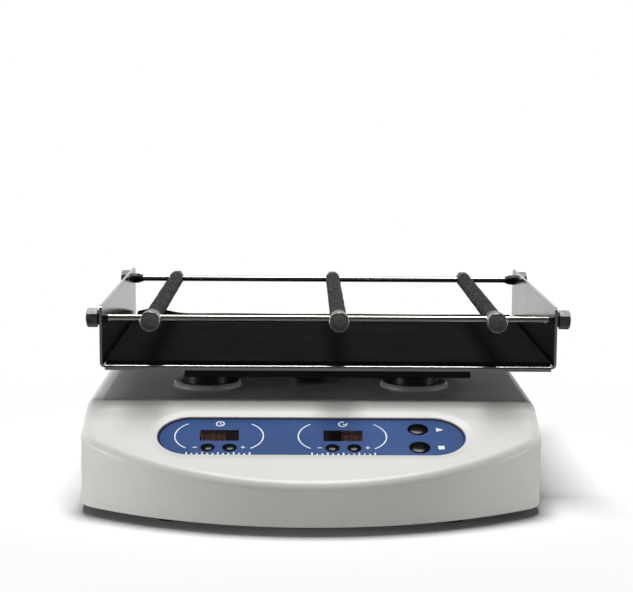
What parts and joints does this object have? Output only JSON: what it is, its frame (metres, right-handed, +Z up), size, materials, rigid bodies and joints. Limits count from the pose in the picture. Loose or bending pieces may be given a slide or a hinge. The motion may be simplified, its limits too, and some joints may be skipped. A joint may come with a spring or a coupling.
{
  "type": "orbital shaker",
  "caption": "Bench orbital shaker: bowed plastic base with a sloping control panel, and a steel clamping tray on an eccentric drive, with sliding bars on two rails.",
  "frame": {"origin": "on the bench, under the middle of the part's box at rest; the drive axis stands at X -10 mm, Y +37 mm", "axes": "+X to the right as seen from the control panel, +Y to the back, +Z up"},
  "size_m": [0.2888, 0.284, 0.1162],
  "materials": {
    "housing_plastic": "fine-grained, warm light grey",
    "plate_paint": "black powder coat",
    "foot_rubber": "matte black",
    "zinc_screw": "zinc plated",
    "overlay_blue": "satin printed membrane",
    "window_tint": "dark tinted",
    "display_plastic": "black display",
    "board_laminate": "green circuit board",
    "switch_plastic": "black",
    "key_plastic": "black moulded",
    "cast_aluminium": "as cast, machined seats",
    "bearing_steel": "ground",
    "motor_steel": "plated can",
    "belt_rubber": "ribbed black",
    "collar_plastic": "light grey",
    "head_plastic": "black acetal",
    "carrier_paint": "black",
    "bush_bronze": "sintered",
    "stainless_sheet": "brushed",
    "mat_rubber": "ribbed black rubber",
    "rail_steel": "drawn bright",
    "nut_steel": "machined",
    "washer_dark": "black oxide",
    "sleeve_rubber": "soft black tube",
    "knob_steel": "turned, satin"
  },
  "bodies": {
    "base": {"top_housing": "housing_plastic", "base_plate": "plate_paint", "rubber_feet": "foot_rubber", "base_screws": "zinc_screw", "control_overlay": "overlay_blue", "display_windows": "window_tint", "display_modules": "display_plastic", "control_board": "board_laminate", "board_screws": "zinc_screw", "tact_switches": "switch_plastic", "bearing_block": "cast_aluminium", "main_bearings": "bearing_steel", "motor_body": "motor_steel", "motor_bracket": "motor_steel", "motor_screws": "zinc_screw", "drive_belt": "belt_rubber", "support_collars": "collar_plastic", "support_bearings": "bearing_steel", "power_inlet": "switch_plastic", "inlet_contact": "nut_steel", "switch_frame": "switch_plastic"},
    "crank": {"drive_shaft": "bearing_steel", "drive_pulley": "cast_aluminium", "counterweight": "zinc_screw"},
    "motor_rotor": {"motor_shaft": "bearing_steel", "motor_pulley": "cast_aluminium"},
    "platform": {"carrier_plate": "carrier_paint", "carrier_bearing": "bearing_steel", "carrier_bushes": "bush_bronze", "platform_tray": "stainless_sheet", "tray_screws": "nut_steel", "rubber_mat": "mat_rubber", "rails": "rail_steel", "rail_nuts": "nut_steel", "rail_washers": "washer_dark", "rail_collars": "washer_dark"},
    "power_switch": {"power_rocker": "key_plastic"},
    "head_front_left": {"support_head_front_left": "head_plastic"},
    "head_front_right": {"support_head_front_right": "head_plastic"},
    "head_rear_left": {"support_head_rear_left": "head_plastic"},
    "head_rear_right": {"support_head_rear_right": "head_plastic"},
    "left_bar": {"left_bar_core": "washer_dark", "left_bar_sleeve": "sleeve_rubber", "left_bar_end_screw": "washer_dark"},
    "left_knob": {"left_clamp_knob": "knob_steel"},
    "middle_bar": {"middle_bar_core": "washer_dark", "middle_bar_sleeve": "sleeve_rubber", "middle_bar_end_screw": "washer_dark"},
    "middle_knob": {"middle_clamp_knob": "knob_steel"},
    "right_bar": {"right_bar_core": "washer_dark", "right_bar_sleeve": "sleeve_rubber", "right_bar_end_screw": "washer_dark"},
    "right_knob": {"right_clamp_knob": "knob_steel"},
    "time_minus_key": {"time_minus_button": "key_plastic"},
    "time_plus_key": {"time_plus_button": "key_plastic"},
    "speed_minus_key": {"speed_minus_button": "key_plastic"},
    "speed_plus_key": {"speed_plus_button": "key_plastic"},
    "start_key": {"start_button": "key_plastic"},
    "stop_key": {"stop_button": "key_plastic"}
  },
  "joints": [
    {"name": "drive_spin", "type": "hinge", "parent": "base", "child": "crank", "pos_m": [-0.01, 0.03698, 0.05], "axis": [0, 0, 1], "continuous": true},
    {"name": "platform_pivot", "type": "hinge", "parent": "crank", "child": "platform", "pos_m": [0, 0.03698, 0.072], "axis": [0, 0, 1], "continuous": true},
    {"name": "motor_spin", "type": "hinge", "parent": "base", "child": "motor_rotor", "pos_m": [-0.01, -0.04802, 0.045], "axis": [0, 0, 1], "continuous": true},
    {"name": "head_front_left_spin", "type": "hinge", "parent": "base", "child": "head_front_left", "pos_m": [-0.0746, -0.01302, 0.06], "axis": [0, 0, 1], "continuous": true},
    {"name": "head_front_right_spin", "type": "hinge", "parent": "base", "child": "head_front_right", "pos_m": [0.0546, -0.01302, 0.06], "axis": [0, 0, 1], "continuous": true},
    {"name": "head_rear_left_spin", "type": "hinge", "parent": "base", "child": "head_rear_left", "pos_m": [-0.0746, 0.08698, 0.06], "axis": [0, 0, 1], "continuous": true},
    {"name": "head_rear_right_spin", "type": "hinge", "parent": "base", "child": "head_rear_right", "pos_m": [0.0546, 0.08698, 0.06], "axis": [0, 0, 1], "continuous": true},
    {"name": "left_bar_slide", "type": "slide", "parent": "platform", "child": "left_bar", "axis": [1, 0, 0], "range_m": [-0.018, 0.05]},
    {"name": "left_knob_turn", "type": "hinge", "parent": "left_bar", "child": "left_knob", "pos_m": [-0.105, -0.06652, 0.1087], "axis": [0, 1, 0], "range_deg": [0, 360]},
    {"name": "middle_bar_slide", "type": "slide", "parent": "platform", "child": "middle_bar", "axis": [1, 0, 0], "range_m": [-0.048, 0.04]},
    {"name": "middle_knob_turn", "type": "hinge", "parent": "middle_bar", "child": "middle_knob", "pos_m": [0.006, -0.06652, 0.1087], "axis": [0, 1, 0], "range_deg": [0, 360]},
    {"name": "right_bar_slide", "type": "slide", "parent": "platform", "child": "right_bar", "axis": [1, 0, 0], "range_m": [-0.04, 0.024]},
    {"name": "right_knob_turn", "type": "hinge", "parent": "right_bar", "child": "right_knob", "pos_m": [0.099, -0.06652, 0.1087], "axis": [0, 1, 0], "range_deg": [0, 360]},
    {"name": "time_minus_press", "type": "slide", "parent": "base", "child": "time_minus_key", "axis": [0, 0.3502, -0.9367], "range_m": [0, 0.0008], "stiffness_N_per_m": 900, "springref_m": -0.0006},
    {"name": "time_plus_press", "type": "slide", "parent": "base", "child": "time_plus_key", "axis": [0, 0.3502, -0.9367], "range_m": [0, 0.0008], "stiffness_N_per_m": 900, "springref_m": -0.0006},
    {"name": "speed_minus_press", "type": "slide", "parent": "base", "child": "speed_minus_key", "axis": [0, 0.3502, -0.9367], "range_m": [0, 0.0008], "stiffness_N_per_m": 900, "springref_m": -0.0006},
    {"name": "speed_plus_press", "type": "slide", "parent": "base", "child": "speed_plus_key", "axis": [0, 0.3502, -0.9367], "range_m": [0, 0.0008], "stiffness_N_per_m": 900, "springref_m": -0.0006},
    {"name": "start_press", "type": "slide", "parent": "base", "child": "start_key", "axis": [0, 0.3502, -0.9367], "range_m": [0, 0.0008], "stiffness_N_per_m": 900, "springref_m": -0.0006},
    {"name": "stop_press", "type": "slide", "parent": "base", "child": "stop_key", "axis": [0, 0.3502, -0.9367], "range_m": [0, 0.0008], "stiffness_N_per_m": 900, "springref_m": -0.0006},
    {"name": "power_switch_rock", "type": "hinge", "parent": "base", "child": "power_switch", "pos_m": [0.082, 0.12798, 0.03], "axis": [1, 0, 0], "range_deg": [0, 20]}
  ],
  "couplings": [
    {"joint": "platform_pivot", "follows": "drive_spin", "ratio": -1},
    {"joint": "motor_spin", "follows": "drive_spin", "ratio": 5},
    {"joint": "head_front_left_spin", "follows": "drive_spin", "ratio": 1},
    {"joint": "head_front_right_spin", "follows": "drive_spin", "ratio": 1},
    {"joint": "head_rear_left_spin", "follows": "drive_spin", "ratio": 1},
    {"joint": "head_rear_right_spin", "follows": "drive_spin", "ratio": 1}
  ]
}
